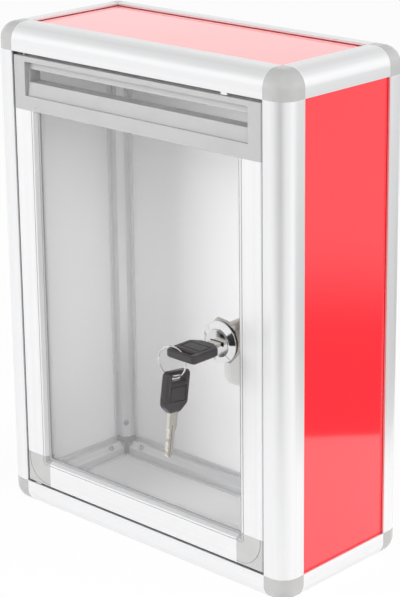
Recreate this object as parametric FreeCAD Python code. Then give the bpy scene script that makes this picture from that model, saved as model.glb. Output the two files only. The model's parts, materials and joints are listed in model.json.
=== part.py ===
import FreeCAD, Part
import math
import os

V = FreeCAD.Vector

# Case, outside sizes in mm
WIDTH, DEPTH, HEIGHT = 210.0, 95.0, 280.0

# Edge profile, one section for all twelve edges
EDGE = 14.6
LAND = 5.0
SKIN = 1.2
LIP_AT = 4.5
LIP = 1.2
CHANNEL_END = 7.0
POST = 12.4
POST_CUT = 3.2
FREE = 0.3

# Panels in the profile channels
PANEL = 3.0
PANEL_AT = LIP_AT - PANEL
PANEL_EDGE = 12.1
SLOT_EDGE = PANEL_EDGE - 0.7

# Corner connectors
LEG = 17.0
SCREW_AT = EDGE + 9.0
SCREW_R, SCREW_HEAD_R, SCREW_HEAD, SCREW_LEN = 1.1, 2.1, 1.5, 6.0

# Door leaf
GAP_HINGE, GAP_LOCK, GAP_BOTTOM, GAP_TOP = 0.5, 1.1, 0.6, 2.0
DOOR_SET, DOOR = 0.5, 10.0
DOOR_X0, DOOR_X1 = EDGE + GAP_HINGE, WIDTH - EDGE - GAP_LOCK
DOOR_Z0, DOOR_Z1 = EDGE + GAP_BOTTOM, HEIGHT - EDGE - GAP_TOP
FRONT, BACK = DOOR_SET, DOOR_SET + DOOR
STILE_FLAT, GROOVE, BEAD, STILE = 13.0, 0.6, 0.9, 15.8
GLASS_AT, GLASS = 3.0, 2.5
GLASS_EDGE = STILE - 3.9
REBATE = STILE - 4.2
CORNER = 18.2
DOOR_LEG = 12.0

# Slot header
HEADER = 29.5
HEADER_Z = DOOR_Z1 - HEADER
CAP = 9.0
RECESS_LOW, RECESS_HIGH = 7.9, 26.6
RECESS_SHALLOW, RECESS_DEEP = 1.6, 3.8
SLOT_LOW, SLOT_HIGH = 15.3, 22.2
SLOT_IN = 1.2

# Hinge
AXIS_X, AXIS_Y = DOOR_X0 + 6.9, 3.0
PIN_R, PIN_FIT = 1.0, 0.05

# Lock and keys
LOCK_X, LOCK_Z = DOOR_X1 - 31.0, DOOR_Z0 + 118.6
LOCK_BODY_R, PLUG_R, FLANGE_R = 8.0, 7.0, 11.0
KEYWAY_HALF = 4.6
PLUG_FRONT, PLUG_BACK = 1.0, 21.3
NUT_R, NUT, NUT_TURN = 12.4, 2.5, -10.0
CAM, CAM_WIDTH, CAM_REACH, CAM_BEND = 1.8, 16.4, 27.0, 11.5
CATCH = 3.5
HEAD_HALF, HEAD_LEN, HEAD_T = 10.1, 21.8, 4.6
TAPER, TAPER_LEN = 6.1, 4.0
HEAD_CORNER, HEAD_SHOULDER, HEAD_NECK, HEAD_EDGE = 2.6, 3.2, 1.0, 0.9
FIELD_HALF, FIELD_Y, FIELD_LEN, FIELD_LINE, FIELD_DEPTH = 7.2, 7.6, 8.4, 0.8, 0.35
BLADE_T, SHOULDER_HALF, BLADE_LOW, BLADE_HIGH = 1.8, 3.5, -2.0, 2.9
TOOTH = 0.5
KEY_OUT, SHOULDER_LEN, BLADE_LEN = 5.9, 7.6, 15.7
KEY_Y0 = PLUG_FRONT - KEY_OUT - HEAD_LEN
RING_SLOT_HALF, RING_SLOT_Y, RING_SLOT_W = 6.2, 2.0, 3.2
RING_R, WIRE_R = 8.2, 0.45
RING_DROP = 4.9
RING_TURN = 10.0
HANG_AT = 3.6
RING_ASIDE = 0.75

# Wall fixing holes in the back panel
HOLE_R, HOLE_SPACING, HOLE_Z = 2.5, 140.0, HEIGHT - 35.0

ORIGIN = V(WIDTH / 2, DEPTH - PANEL_AT, HOLE_Z)


def box(x0, x1, y0, y1, z0, z1):
    return Part.makeBox(x1 - x0, y1 - y0, z1 - z0, V(x0, y0, z0))


def rod(point, direction, radius, length):
    return Part.makeCylinder(radius, length, V(*point), V(*direction))


def face_of(points):
    return Part.Face(Part.makePolygon([V(*p) for p in points + points[:1]]))


def single(shape):
    return shape.Solids[0] if len(shape.Solids) == 1 else shape


def fuse(first, *others):
    return single(first.multiFuse(list(others)).removeSplitter())


def cut(first, *others):
    for other in others:
        first = first.cut(other)
    return single(first)


def rounded(shape, radius, wanted):
    """Shape with the straight edges whose middles pass the test rounded."""
    edges = [e for e in shape.Edges if wanted(e.CenterOfMass)]
    return shape.makeFillet(radius, edges)


def along(shape, axis):
    """Turns local (a, b, c) so that c runs along x, y or z."""
    turn = {"z": 0, "x": 120, "y": 240}[axis]
    shape = shape.copy()
    shape.rotate(V(0, 0, 0), V(1, 1, 1), turn)
    return shape


def at_side(shape, right=False, back=False, top=False):
    if right:
        shape = shape.mirror(V(WIDTH / 2, 0, 0), V(1, 0, 0))
    if back:
        shape = shape.mirror(V(0, DEPTH / 2, 0), V(0, 1, 0))
    if top:
        shape = shape.mirror(V(0, 0, HEIGHT / 2), V(0, 0, 1))
    return shape


# Edge profile
def arc(centre, radius, first, middle, last):
    points = [V(centre + radius * math.cos(math.radians(t)), centre + radius * math.sin(math.radians(t)), 0)
              for t in (first, middle, last)]
    return Part.Arc(*points).toShape()


def post_hole(gap=0.0, far=0.0):
    """Hollow of the profile's post; a leg in it is smaller by far at its inner sides."""
    low = LIP_AT + LIP + gap
    high = POST - LIP - far
    slant = 2 * POST - POST_CUT - LIP * math.sqrt(2) - far * math.sqrt(2)
    return [(low, low, 0), (high, low, 0), (high, slant - high, 0), (slant - high, high, 0), (low, high, 0)]


def profile_face():
    mid = EDGE - LAND
    inner = mid - SKIN
    turn = math.degrees(math.asin((mid - CHANNEL_END) / inner))
    foot = mid - inner * math.cos(math.radians(turn))
    lip = LIP_AT + LIP
    run = [(SKIN, mid), (SKIN, EDGE), (0, EDGE), (0, mid)]
    edges = [Part.makeLine(V(*run[i], 0), V(*run[i + 1], 0)) for i in range(3)]
    edges.append(arc(mid, mid, 180, 225, 270))
    run = [(mid, 0), (EDGE, 0), (EDGE, SKIN), (mid, SKIN)]
    edges += [Part.makeLine(V(*run[i], 0), V(*run[i + 1], 0)) for i in range(3)]
    edges.append(arc(mid, inner, 270, 270 - turn / 2, 270 - turn))
    run = [(CHANNEL_END, foot), (CHANNEL_END, LIP_AT), (EDGE, LIP_AT), (EDGE, lip), (POST, lip),
           (POST, POST - POST_CUT), (POST - POST_CUT, POST), (lip, POST), (lip, EDGE), (LIP_AT, EDGE),
           (LIP_AT, CHANNEL_END), (foot, CHANNEL_END)]
    edges += [Part.makeLine(V(*run[i], 0), V(*run[i + 1], 0)) for i in range(len(run) - 1)]
    edges.append(arc(mid, inner, 180 + turn, 180 + turn / 2, 180))
    outer = Part.Face(Part.Wire(Part.__sortEdges__(edges)))
    return outer.cut(face_of(post_hole()))


def screw_place(c):
    """Point on the post's slanted face, and the way into the leg."""
    half = POST - POST_CUT / 2
    return V(half, half, c), V(-1, -1, 0).normalize()


def edge_profile(length):
    solid = profile_face().extrude(V(0, 0, length - 2 * EDGE))
    solid.translate(V(0, 0, EDGE))
    for c in (SCREW_AT, length - SCREW_AT):
        point, way = screw_place(c)
        solid = solid.cut(Part.makeCylinder(SCREW_R + FREE, 3.0, point - way * 0.5, way))
    return solid


def profiles():
    upright = along(edge_profile(HEIGHT), "z")
    cross = along(edge_profile(WIDTH), "x")
    side = along(edge_profile(DEPTH), "y")
    parts = {}
    for back, depth_name in ((False, "front"), (True, "back")):
        for right, name in ((False, "left"), (True, "right")):
            parts[f"profile_{depth_name}_{name}"] = at_side(upright, right=right, back=back)
        for top, name in ((True, "top"), (False, "bottom")):
            parts[f"profile_{depth_name}_{name}"] = at_side(cross, back=back, top=top)
    for top, level in ((True, "top"), (False, "bottom")):
        for right, name in ((False, "left"), (True, "right")):
            parts[f"profile_side_{level}_{name}"] = at_side(side, right=right, top=top)
    return parts


def leg(axis):
    solid = face_of(post_hole(far=FREE)).extrude(V(0, 0, LEG + 1))
    solid.translate(V(0, 0, EDGE - 1))
    point, way = screw_place(SCREW_AT)
    return along(solid.cut(Part.makeCylinder(SCREW_R, SCREW_LEN + 0.3, point, way)), axis)


def connector(back):
    """Corner at the origin; a front corner has no panel across its front."""
    block = rounded(box(0, EDGE, 0, EDGE, 0, EDGE), EDGE - LAND,
                    lambda p: sorted((p.x, p.y, p.z))[1] < 0.01)
    far = EDGE + 1
    tools = []
    for axis in "xyz":
        tools.append(along(box(POST, far, POST, far, LIP_AT, far), axis))
        if axis != "y" or back:
            tools.append(along(box(SLOT_EDGE, far, SLOT_EDGE, far, SKIN, LIP_AT), axis))
    return fuse(cut(block, *tools), leg("x"), leg("y"), leg("z"))


def connectors():
    parts = {}
    for back, depth_name in ((False, "front"), (True, "back")):
        base = connector(back)
        for top, level in ((True, "top"), (False, "bottom")):
            for right, name in ((False, "left"), (True, "right")):
                parts[f"corner_{depth_name}_{level}_{name}"] = at_side(base, right=right, back=back, top=top)
    return parts


def screw(point, way, head_r, head, shank_r, length):
    shank = Part.makeCylinder(shank_r, length, point, way)
    cap = Part.makeCone(head_r, head_r * 0.75, head, point, way * -1)
    return fuse(cap, shank)


def corner_screws():
    point, way = screw_place(SCREW_AT)
    base = screw(point, way, SCREW_HEAD_R, SCREW_HEAD, SCREW_R, SCREW_LEN)
    three = [along(base, axis) for axis in "xyz"]
    return Part.Compound([at_side(s, right=r, back=b, top=t)
                          for s in three for r in (0, 1) for b in (0, 1) for t in (0, 1)])


# Panels
def panels():
    e, a, t = PANEL_EDGE, PANEL_AT, PANEL
    left = box(a, a + t, e, DEPTH - e, e, HEIGHT - e)
    bottom = box(e, WIDTH - e, e, DEPTH - e, a, a + t)
    back = box(e, WIDTH - e, DEPTH - a - t, DEPTH - a, e, HEIGHT - e)
    holes = [rod((WIDTH / 2 + s * HOLE_SPACING / 2, DEPTH - a - t - 1, HOLE_Z), (0, 1, 0), HOLE_R, t + 2)
             for s in (-1, 1)]
    return {"panel_left": left, "panel_right": at_side(left, right=True), "panel_bottom": bottom,
            "panel_top": at_side(bottom, top=True), "panel_back": cut(back, *holes)}


# Pieces on the case that serve the door
BLOCK_X = AXIS_X - 2.2
BLOCK_IN = EDGE - 3.0


def hinge_block(top):
    z0, z1 = (HEIGHT - EDGE - 0.4, HEIGHT - BLOCK_IN) if top else (BLOCK_IN, EDGE + GAP_BOTTOM - FREE)
    block = box(BLOCK_X, BLOCK_X + 4.4, AXIS_Y - 1.5, LIP_AT, z0, z1)
    return block.cut(rod((AXIS_X, AXIS_Y, z0 - 1), (0, 0, 1), PIN_R + PIN_FIT, z1 - z0 + 2))


def door_buffer():
    x0 = DOOR_X1 - 27.5
    return box(x0, x0 + 4, AXIS_Y - 1.5, LIP_AT, DOOR_Z1 + FREE, HEIGHT - BLOCK_IN)


CATCH_X = WIDTH - POST + POST_CUT + 1.6


def catch_screw_at(side):
    return V(CATCH_X, POST + CATCH, LOCK_Z + side * 7)


def lock_catch():
    plate = box(LOCK_X + 22, WIDTH - LIP_AT - LIP - FREE, POST, POST + CATCH, LOCK_Z - 10.5, LOCK_Z + 10.5)
    plate = rounded(plate, 3.0, lambda p: p.x < LOCK_X + 22.1 and abs(abs(p.z - LOCK_Z) - 10.5) < 0.1)
    return cut(plate, *[rod((CATCH_X, POST - 1, LOCK_Z + s * 7), (0, 1, 0), 0.9 + FREE, 9) for s in (-1, 1)])


def catch_screws():
    return Part.Compound([screw(catch_screw_at(s), V(0, -1, 0), 1.8, 1.2, 0.9, CATCH + 2.5) for s in (-1, 1)])


def catch_holes():
    return [rod((CATCH_X, POST - LIP - 1, LOCK_Z + s * 7), (0, 1, 0), 0.9, LIP + 2) for s in (-1, 1)]


# Door leaf: w is measured in from the leaf's edge, d back from its front face
def stile_face():
    r = 1.0
    q = r * (1 - math.sqrt(0.5))
    outer = [(0, DOOR), (0, r), (r, 0)]
    back_flange = GLASS_AT + GLASS + FREE
    inner = [(r, 0), (STILE_FLAT, 0), (STILE_FLAT, GROOVE), (STILE_FLAT + GROOVE, GROOVE),
             (STILE_FLAT + GROOVE, 0), (STILE_FLAT + GROOVE + BEAD, 0), (STILE - 0.2, GLASS_AT - 0.6), (STILE, GLASS_AT), (REBATE, GLASS_AT),
             (REBATE, back_flange), (STILE, back_flange), (STILE, back_flange + 1.2),
             (REBATE - 0.4, back_flange + 1.2), (REBATE - 0.4, DOOR), (0, DOOR)]
    edges = [Part.makeLine(V(*outer[0], 0), V(*outer[1], 0)),
             Part.Arc(V(0, r, 0), V(q, q, 0), V(r, 0, 0)).toShape()]
    edges += [Part.makeLine(V(*inner[i], 0), V(*inner[i + 1], 0)) for i in range(len(inner) - 1)]
    face = Part.Face(Part.Wire(Part.__sortEdges__(edges)))
    return face.cut(face_of(tube(0)))


def tube(gap):
    w0, w1, d0, d1 = 1.4 + gap, REBATE - 1.6 - gap, 1.2 + gap, DOOR - 1.2 - gap
    return [(w0, d0, 0), (w1, d0, 0), (w1, d1, 0), (w0, d1, 0)]


def upright_run(face, z0, z1):
    solid = face.extrude(V(0, 0, z1 - z0))
    solid.translate(V(DOOR_X0, FRONT, z0))
    return solid


def cross_run(face, x0, x1):
    """The same section with w upward and its length along x."""
    solid = face.extrude(V(0, 0, x1 - x0))
    solid.rotate(V(0, 0, 0), V(0, 1, 0), 90)
    solid = solid.mirror(V(0, 0, 0), V(0, 0, 1))
    solid.translate(V(x0, FRONT, DOOR_Z0))
    return solid


def stile():
    return upright_run(stile_face(), DOOR_Z0 + CORNER, HEADER_Z)


def bottom_rail():
    return cross_run(stile_face(), DOOR_X0 + CORNER, DOOR_X1 - CORNER)


def door_corner():
    x0, z0 = DOOR_X0, DOOR_Z0
    block = box(x0, x0 + CORNER, FRONT, BACK, z0, z0 + CORNER)
    block = rounded(block, 1.0, lambda p: abs(p.y - FRONT) < 0.01 and (abs(p.x - x0) < 0.01 or abs(p.z - z0) < 0.01))
    back_flange = GLASS_AT + GLASS + FREE
    x1, z1 = x0 + STILE, z0 + STILE
    far_x, far_z = x0 + 24, z0 + 24
    tools = [bead_notch(),
             box(x1, far_x, FRONT - 1, BACK + 1, z1, far_z),
             box(x0 + REBATE, far_x, FRONT + GLASS_AT, FRONT + back_flange, z0 + REBATE, far_z),
             box(x0 + REBATE - 0.4, far_x, FRONT + back_flange + 1.2, BACK + 1, z0 + REBATE - 0.4, far_z)]
    for radius, width in ((14.5, 0.5), (3.0, 0.4)):
        ring = rod((x1, FRONT - 1, z1), (0, 1, 0), radius, 1.3)
        tools.append(ring.cut(rod((x1, FRONT - 2, z1), (0, 1, 0), radius - width, 4)))
    block = cut(block, *tools)
    up = upright_run(face_of(tube(FREE)), z0 + CORNER - 1, z0 + CORNER + DOOR_LEG)
    out = cross_run(face_of(tube(FREE)), x0 + CORNER - 1, x0 + CORNER + DOOR_LEG)
    return fuse(block, up, out)


def frustum(x, z, y0, x2, z2, y1):
    """Solid from the rectangle x by z at y0 to the rectangle x2 by z2 at y1."""
    return Part.makeWedge(x[0], y0, z[0], z2[0], x2[0], x[1], y1, z[1], z2[1], x2[1])


def bead_notch():
    """Fall of the bead at the inner corner, down to the clear panel's face."""
    w0, w1, far = STILE_FLAT + GROOVE + BEAD, STILE, 24.0
    lead = (w1 - w0) / GLASS_AT
    outer = [(o + w0 - lead, o + far) for o in (DOOR_X0, DOOR_Z0)]
    inner = [(o + w1, o + far) for o in (DOOR_X0, DOOR_Z0)]
    return frustum(*outer, FRONT - 1, *inner, FRONT + GLASS_AT)


def on_right(shape):
    return shape.mirror(V((DOOR_X0 + DOOR_X1) / 2, 0, 0), V(1, 0, 0))


def pin_hole(z0, z1):
    return rod((AXIS_X, AXIS_Y, z0), (0, 0, 1), PIN_R, z1 - z0)


def slot_header():
    x0, x1, z0, z1 = DOOR_X0, DOOR_X1, HEADER_Z, DOOR_Z1
    block = box(x0, x1, FRONT, BACK, z0, z1)
    block = rounded(block, 1.0, lambda p: abs(p.y - FRONT) < 0.01 and (abs(p.x - x0) < 0.01 or abs(p.x - x1) < 0.01))
    a, b = z0 + RECESS_LOW, z0 + RECESS_HIGH
    profile = [(x0 + CAP, FRONT - 1, a), (x0 + CAP, FRONT + RECESS_SHALLOW, a),
               (x0 + CAP, FRONT + RECESS_DEEP, b), (x0 + CAP, FRONT - 1, b)]
    recess = face_of(profile).extrude(V(x1 - x0 - 2 * CAP, 0, 0))
    ends = CAP + SLOT_IN
    slot = box(x0 + ends, x1 - ends, FRONT - 1, BACK + 1, z0 + SLOT_LOW, z0 + SLOT_HIGH)
    groove = box(x0 + REBATE, x1 - REBATE, FRONT + GLASS_AT, FRONT + GLASS_AT + GLASS + FREE, z0 - 1, z0 + 4.1)
    pocket = box(x0 + REBATE, x1 - REBATE, FRONT + 4.6, BACK + 1, z0 + 5.3, z0 + SLOT_LOW - 2.5)
    block = cut(block, recess, slot, groove, pocket, pin_hole(z1 - 6, z1 + 1))
    legs = upright_run(face_of(tube(FREE)), z0 - DOOR_LEG, z0 + 1)
    return fuse(block, legs, on_right(legs))


def clear_panel():
    pane = box(DOOR_X0 + GLASS_EDGE, DOOR_X1 - GLASS_EDGE, FRONT + GLASS_AT, FRONT + GLASS_AT + GLASS,
               DOOR_Z0 + GLASS_EDGE, HEADER_Z + 3.8)
    return pane.cut(rod((LOCK_X, 0, LOCK_Z), (0, 1, 0), LOCK_BODY_R + FREE, 12))


def glazing_gasket():
    y0, y1, t = FRONT + GLASS_AT - 0.7, FRONT + GLASS_AT, 1.4
    x0, x1, z0 = DOOR_X0 + STILE, DOOR_X1 - STILE, DOOR_Z0 + STILE
    return cut(box(x0, x1, y0, y1, z0, HEADER_Z), box(x0 + t, x1 - t, y0 - 1, y1 + 1, z0 + t, HEADER_Z + 1))


def door():
    left = door_corner().cut(pin_hole(DOOR_Z0 - 1, DOOR_Z0 + 6.4))
    return {"slot_header": slot_header(), "stile_left": stile(), "stile_right": on_right(stile()),
            "bottom_rail": bottom_rail(), "door_corner_left": left,
            "door_corner_right": on_right(door_corner()), "clear_panel": clear_panel(),
            "glazing_gasket": glazing_gasket(),
            "hinge_pin_top": pin_hole(DOOR_Z1 - 6, HEIGHT - BLOCK_IN - 0.4),
            "hinge_pin_bottom": pin_hole(BLOCK_IN + 0.4, DOOR_Z0 + 6.4)}


# Lock
def lathe(points):
    """Solid of revolution about the lock's axis from (radius, depth) points."""
    face = face_of([(LOCK_X + r, y, LOCK_Z) for r, y in points])
    return face.revolve(V(LOCK_X, 0, LOCK_Z), V(0, 1, 0), 360)


GLASS_Y0 = FRONT + GLASS_AT
GLASS_Y1 = GLASS_Y0 + GLASS


def lock_housing():
    bore = PLUG_R + PIN_FIT
    return lathe([(bore, PLUG_FRONT + 0.3), (bore + 0.7, PLUG_FRONT + 0.3), (FLANGE_R, GLASS_Y0 - 0.6),
                  (FLANGE_R, GLASS_Y0), (LOCK_BODY_R, GLASS_Y0), (LOCK_BODY_R, PLUG_BACK - 0.3),
                  (bore, PLUG_BACK - 0.3)])


def lock_nut():
    turns = [math.radians(60 * k + NUT_TURN) for k in range(6)]
    corners = [(LOCK_X + NUT_R * math.cos(t), GLASS_Y1, LOCK_Z + NUT_R * math.sin(t)) for t in turns]
    bore = rod((LOCK_X, 0, LOCK_Z), (0, 1, 0), LOCK_BODY_R, PLUG_BACK)
    return face_of(corners).extrude(V(0, NUT, 0)).cut(bore)


KEY_TIP = PLUG_FRONT - KEY_OUT + SHOULDER_LEN + BLADE_LEN
CAM_TIP_Y = POST + CATCH + FREE


def lock_plug():
    plug = rod((LOCK_X, PLUG_FRONT, LOCK_Z), (0, 1, 0), PLUG_R, PLUG_BACK - PLUG_FRONT)
    keyway = box(LOCK_X - KEYWAY_HALF, LOCK_X + KEYWAY_HALF, PLUG_FRONT - 1, KEY_TIP + FREE,
                 LOCK_Z - BLADE_T / 2 - FREE, LOCK_Z + BLADE_T / 2 + FREE)
    return cut(plug, keyway, rod((LOCK_X, KEY_TIP + 0.8, LOCK_Z), (0, 1, 0), 1.9, 6))


def lock_cam():
    half, y1 = CAM_WIDTH / 2, PLUG_BACK + CAM
    hub = rod((LOCK_X, PLUG_BACK, LOCK_Z), (0, 1, 0), half, CAM)
    arm = box(LOCK_X - half, LOCK_X + half, PLUG_BACK, y1, LOCK_Z - CAM_BEND, LOCK_Z)
    web = box(LOCK_X - half, LOCK_X + half, CAM_TIP_Y, y1, LOCK_Z - CAM_BEND, LOCK_Z - CAM_BEND + CAM)
    tip = box(LOCK_X - half, LOCK_X + half, CAM_TIP_Y, CAM_TIP_Y + CAM, LOCK_Z - CAM_REACH, LOCK_Z - CAM_BEND + CAM)
    tip = rounded(tip, 4.5, lambda p: p.z < LOCK_Z - CAM_REACH + 0.1 and abs(abs(p.x - LOCK_X) - half) < 0.1)
    return fuse(hub, arm, web, tip).cut(rod((LOCK_X, 0, LOCK_Z), (0, 1, 0), 1.9, 30))


def cam_screw():
    return screw(V(LOCK_X, PLUG_BACK + CAM, LOCK_Z), V(0, -1, 0), 4.0, 2.2, 1.9, PLUG_BACK + CAM - KEY_TIP - 0.8)


# Key: head from y 0, blade onward along +y, width in x, thickness in z
def key_blade():
    root, shoulder = HEAD_LEN - 6, HEAD_LEN + SHOULDER_LEN
    end = shoulder + BLADE_LEN
    s, lo, hi, t = SHOULDER_HALF, BLADE_LOW, BLADE_HIGH, BLADE_T / 2
    outline = [(-s, root), (s, root), (s, shoulder), (hi, shoulder + 0.4)]
    for k in range(4):
        y = shoulder + 2.4 + 3.4 * k
        outline += [(hi, y - 1.5), (hi - TOOTH * (1 + 0.6 * (k % 2)), y), (hi, y + 1.5)]
    outline += [(hi, end - 1.5), (hi - 1.7, end), (lo + 1.7, end), (lo, end - 1.5), (lo, shoulder + 3), (-s, shoulder)]
    blade = face_of([(x, y, -t) for x, y in outline]).extrude(V(0, 0, BLADE_T))
    groove = (HEAD_LEN + 6.5, end + 1)
    return cut(blade, *[box(0, 0.9, *groove, side * t - 0.4, side * t + 0.4) for side in (-1, 1)])


def key_head():
    """Moulded head with rounded corners and bevelled faces, a slot for the ring and a plain framed field."""
    h, t, w, k = HEAD_HALF, HEAD_T / 2, HEAD_HALF - TAPER, TAPER_LEN
    outline = [(-h, 0), (h, 0), (h, HEAD_LEN - k), (w, HEAD_LEN), (-w, HEAD_LEN), (-h, HEAD_LEN - k)]
    head = face_of([(x, y, -t) for x, y in outline]).extrude(V(0, 0, 2 * t))
    head = rounded(head, HEAD_CORNER, lambda p: abs(p.z) < 0.01 and p.y < 0.1)
    head = rounded(head, HEAD_SHOULDER, lambda p: abs(p.z) < 0.01 and abs(p.x) > h - 0.1
                   and abs(p.y - HEAD_LEN + k) < 0.1)
    head = rounded(head, HEAD_NECK, lambda p: abs(p.z) < 0.01 and abs(abs(p.x) - w) < 0.1
                   and p.y > HEAD_LEN - 0.1)
    head = head.makeChamfer(HEAD_EDGE, [e for e in head.Edges if abs(abs(e.CenterOfMass.z) - t) < 0.01])
    (x0, x1), (y0, y1) = ring_slot(0)
    tools = [box(x0, x1, y0, y1, -t - 1, t + 1)]
    for side in (-1, 1):
        tools += [slot_mouth(side), field_line(side)]
    tools.append(box(-SHOULDER_HALF, SHOULDER_HALF, HEAD_LEN - 6, HEAD_LEN + 1, -BLADE_T / 2, BLADE_T / 2))
    return cut(head, *tools)


def field_line(side):
    """Sunk line round the plain field on one face of the head."""
    z0, z1 = HEAD_T / 2 - FIELD_DEPTH, HEAD_T / 2 + 1
    f, y, w = FIELD_HALF, FIELD_Y, FIELD_LINE
    line = box(-f, f, y, y + FIELD_LEN, z0, z1).cut(box(w - f, f - w, y + w, y + FIELD_LEN - w, z0, z1))
    return line if side > 0 else line.mirror(V(0, 0, 0), V(0, 0, 1))


def ring_slot(grow):
    x = RING_SLOT_HALF + grow
    return (-x, x), (RING_SLOT_Y - grow, RING_SLOT_Y + RING_SLOT_W + grow)


def slot_mouth(side):
    """Sloped rim of the ring's slot, on one face of the head."""
    (x, y), (x2, y2) = ring_slot(0), ring_slot(1.0)
    rim = frustum(x, y, HEAD_T / 2 - 0.8, x2, y2, HEAD_T / 2 + 0.2)
    rim = rim.mirror(V(0, 0, 0), V(0, 1, -1))
    return rim if side > 0 else rim.mirror(V(0, 0, 0), V(0, 0, 1))


def hang(shape):
    """From the ring's frame, its origin in the middle of the rail that the ring goes round."""
    place = shape.copy()
    place.rotate(V(0, 0, 0), V(0, 0, 1), RING_TURN)
    place.translate(V(LOCK_X - (HEAD_HALF + RING_SLOT_HALF) / 2 + RING_ASIDE,
                      KEY_Y0 + RING_SLOT_Y + RING_SLOT_W / 2 - 1.3, LOCK_Z))
    return place


def key_ring():
    return hang(Part.makeTorus(RING_R, WIRE_R, V(0, 0, -RING_DROP), V(0, 1, 0)))


def spare_key():
    """The second key, hung from the ring's lowest point so that its weight is under it."""
    low = -RING_DROP - RING_R
    turned = FreeCAD.Matrix(0, 0, 1, 0, -1, 0, 0, HANG_AT, 0, -1, 0, low + RING_SLOT_Y + 1.1, 0, 0, 0, 1)
    head, blade = key_head(), key_blade()
    for piece in (head, blade):
        piece.Placement = FreeCAD.Placement(turned).multiply(piece.Placement)
    weights = ((head, 1.05), (blade, 7.85))
    mass = sum(p.Volume * d for p, d in weights)
    y, z = (sum(getattr(p.CenterOfMass, k) * p.Volume * d for p, d in weights) / mass for k in "yz")
    tilt = math.degrees(math.atan(y / (z - low)))
    for piece in (head, blade):
        piece.rotate(V(0, 0, low), V(1, 0, 0), tilt)
    return {"spare_key_head": hang(head), "spare_key_blade": hang(blade)}


def keys():
    head, blade = key_head(), key_blade()
    for piece in (head, blade):
        piece.translate(V(LOCK_X, KEY_Y0, LOCK_Z))
    return {"key_head": head, "key_blade": blade}


def build():
    parts = profiles()
    parts["profile_front_right"] = cut(parts["profile_front_right"], *catch_holes())
    parts.update(connectors())
    parts.update(panels())
    parts.update({"corner_screws": corner_screws(), "hinge_block_top": hinge_block(True),
                  "hinge_block_bottom": hinge_block(False), "door_buffer": door_buffer(),
                  "lock_catch": lock_catch(), "catch_screws": catch_screws()})
    parts.update(door())
    parts.update({"lock_housing": lock_housing(), "lock_nut": lock_nut(), "lock_plug": lock_plug(),
                  "lock_cam": lock_cam(), "cam_screw": cam_screw(), "key_ring": key_ring()})
    parts.update(keys())
    parts.update(spare_key())
    return parts


def main():
    os.makedirs("parts", exist_ok=True)
    for name, shape in build().items():
        shape = single(shape).copy()
        shape.translate(ORIGIN * -1)
        shape.exportStep(f"parts/{name}.step")


if __name__ == "__main__":
    main()
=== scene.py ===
"""Finishes, fine pieces and studio for a small wall post box.

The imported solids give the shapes. This script adds the split ring, the cross recess screws and the
chamfered lock nut as finer surfaces, and gives every piece its own finish. Lengths are in metres
and angles in degrees, unless a name says otherwise.
"""

import json
import logging
import math
from dataclasses import dataclass
from enum import Enum

import bmesh
import bpy
import numpy as np
from mathutils import Matrix, Vector

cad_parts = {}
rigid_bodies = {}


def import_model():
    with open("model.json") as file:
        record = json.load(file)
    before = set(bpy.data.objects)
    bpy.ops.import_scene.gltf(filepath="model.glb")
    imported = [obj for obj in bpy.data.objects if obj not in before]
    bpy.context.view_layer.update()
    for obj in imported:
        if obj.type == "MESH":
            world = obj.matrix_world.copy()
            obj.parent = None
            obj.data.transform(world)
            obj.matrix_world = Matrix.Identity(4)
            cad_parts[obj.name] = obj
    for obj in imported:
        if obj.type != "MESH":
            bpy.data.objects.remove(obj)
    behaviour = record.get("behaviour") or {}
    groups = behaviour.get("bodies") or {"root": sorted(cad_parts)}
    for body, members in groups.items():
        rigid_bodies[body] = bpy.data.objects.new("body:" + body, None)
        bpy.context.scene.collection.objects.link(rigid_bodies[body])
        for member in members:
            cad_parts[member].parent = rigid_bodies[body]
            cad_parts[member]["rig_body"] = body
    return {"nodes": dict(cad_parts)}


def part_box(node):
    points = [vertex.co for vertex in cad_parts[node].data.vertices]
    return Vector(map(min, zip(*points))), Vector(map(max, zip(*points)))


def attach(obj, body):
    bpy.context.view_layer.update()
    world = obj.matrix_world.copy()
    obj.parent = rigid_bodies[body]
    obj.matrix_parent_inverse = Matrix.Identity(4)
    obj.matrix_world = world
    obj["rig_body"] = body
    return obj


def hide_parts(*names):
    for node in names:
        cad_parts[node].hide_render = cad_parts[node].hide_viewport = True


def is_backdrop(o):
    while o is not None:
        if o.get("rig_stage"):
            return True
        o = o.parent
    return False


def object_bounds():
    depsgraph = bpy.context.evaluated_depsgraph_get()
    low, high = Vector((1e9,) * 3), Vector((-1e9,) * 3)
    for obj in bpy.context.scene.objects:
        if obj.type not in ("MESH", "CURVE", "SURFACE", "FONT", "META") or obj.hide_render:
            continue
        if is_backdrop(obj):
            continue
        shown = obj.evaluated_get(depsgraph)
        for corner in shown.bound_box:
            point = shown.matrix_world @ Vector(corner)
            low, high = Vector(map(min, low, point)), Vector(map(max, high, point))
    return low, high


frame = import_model()

LOG = logging.getLogger("post_box")
MM = 0.001
SAME_POINT = 1e-7
NO_LENGTH = 1e-8
Colour = tuple[float, float, float]
Bounds = tuple[float, float]
Ramp = tuple[float, float, float, float]
WHITE: Colour = (1.0, 1.0, 1.0)


class Axis(Enum):
    """Way along which a section was drawn, as a unit vector."""

    X = (1.0, 0.0, 0.0)
    Y = (0.0, 1.0, 0.0)
    Z = (0.0, 0.0, 1.0)

    def stretch(self, along: float) -> tuple[float, float, float]:
        """Returns scales that draw a pattern out along this axis."""
        return tuple(along if part else 1.0 for part in self.value)


def solid(colour: Colour) -> tuple[float, float, float, float]:
    """Returns a colour with full opacity."""
    return (*colour, 1.0)


def heading(azimuth: float, elevation: float = 0.0) -> Vector:
    """Returns the unit vector at an angle to the right of the front and one above level."""
    az, el = math.radians(azimuth), math.radians(elevation)
    return Vector((math.sin(az) * math.cos(el), -math.cos(az) * math.cos(el), math.sin(el)))


# Shared effects


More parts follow.
